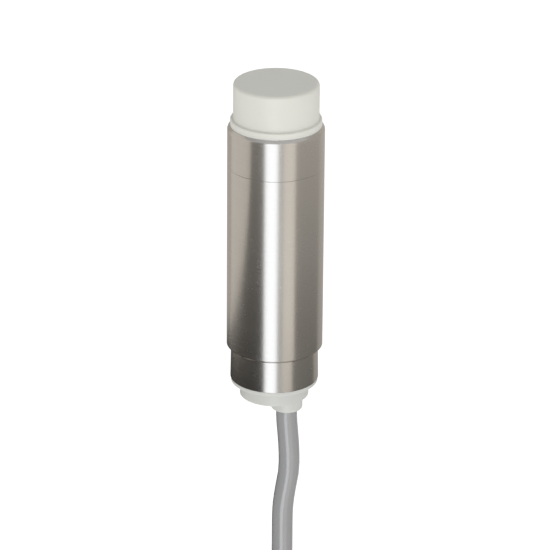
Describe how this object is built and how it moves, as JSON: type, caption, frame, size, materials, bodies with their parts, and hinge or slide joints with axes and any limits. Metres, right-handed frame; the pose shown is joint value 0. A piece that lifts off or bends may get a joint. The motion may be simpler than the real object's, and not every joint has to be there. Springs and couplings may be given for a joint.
{
  "type": "cylindrical proximity sensor",
  "caption": "Smooth cylindrical steel sensor with a raised off-white sensing head, a rear cap and a moulded-in grey cable with bare ends.",
  "frame": {"origin": "on the barrel's axis, halfway along the plain clamping zone behind the collar's joint line", "axes": "+Z along the barrel towards the sensing face, -Z towards the cable; the cable leaves the rear cap towards +X and -Y of the axis"},
  "size_m": [0.1213, 0.0353, 0.3111],
  "materials": {
    "head_plastic": "off-white moulded, satin",
    "cap_plastic": "off-white moulded, satin",
    "turned_steel": "fine turned",
    "black_rubber": "moulded",
    "copper": "plain copper",
    "brass": "turned",
    "gold_pin": "gold plated",
    "tinned_metal": "tin plated",
    "natural_plastic": "natural nylon",
    "circuit_board": "green resist",
    "black_component": "moulded epoxy",
    "tan_component": "fired",
    "can_sleeve": "shrunk sleeve",
    "blue_component": "dipped epoxy",
    "ferrite": "sintered",
    "potting_resin": "cast resin",
    "lamp_body": "tinted lens",
    "clear_plastic": "translucent",
    "grey_jacket": "extruded",
    "brown_insulation": "extruded",
    "black_insulation": "extruded",
    "blue_insulation": "extruded"
  },
  "bodies": {
    "root": {"sensing_cap": "head_plastic", "front_collar": "turned_steel", "barrel": "turned_steel", "rear_cap": "cap_plastic", "cap_o_ring": "black_rubber", "rear_o_ring": "black_rubber", "electrode_disc": "copper", "guard_ring": "brass", "electrode_carrier": "natural_plastic", "electrode_pin": "brass", "guard_pin": "brass", "front_board": "circuit_board", "front_board_parts": "black_component", "board_header": "black_component", "header_pins": "gold_pin", "main_board": "circuit_board", "board_chips": "black_component", "chip_resistors": "black_component", "chip_capacitors": "tan_component", "electrolytic_capacitors": "can_sleeve", "power_transistor": "black_component", "surge_suppressor": "blue_component", "choke_core": "ferrite", "choke_winding": "copper", "left_rail": "natural_plastic", "right_rail": "natural_plastic", "ground_spring": "brass", "resin_plug": "potting_resin", "rear_board": "circuit_board", "trimmer_body": "blue_component", "adjuster_seal": "black_rubber", "status_led": "lamp_body", "light_guide": "clear_plastic", "crimp_ferrule": "tinned_metal", "cable_seal": "black_rubber", "cable_stub": "grey_jacket", "wire_brown": "brown_insulation", "wire_black": "black_insulation", "wire_blue": "blue_insulation", "cable": "grey_jacket", "cable_coil": "grey_jacket", "tie_strap": "natural_plastic", "tie_head": "natural_plastic", "lead_brown": "brown_insulation", "lead_black": "black_insulation", "lead_blue": "blue_insulation", "lead_ferrules": "tinned_metal"},
    "trimmer": {"trimmer_rotor": "tinned_metal", "adjuster_screw": "brass"}
  },
  "joints": [
    {"name": "trimmer_turn", "type": "hinge", "parent": "root", "child": "trimmer", "pos_m": [-0.005, 0.0045, -0.05], "axis": [0, 0, 1], "range_deg": [-135, 135]}
  ]
}
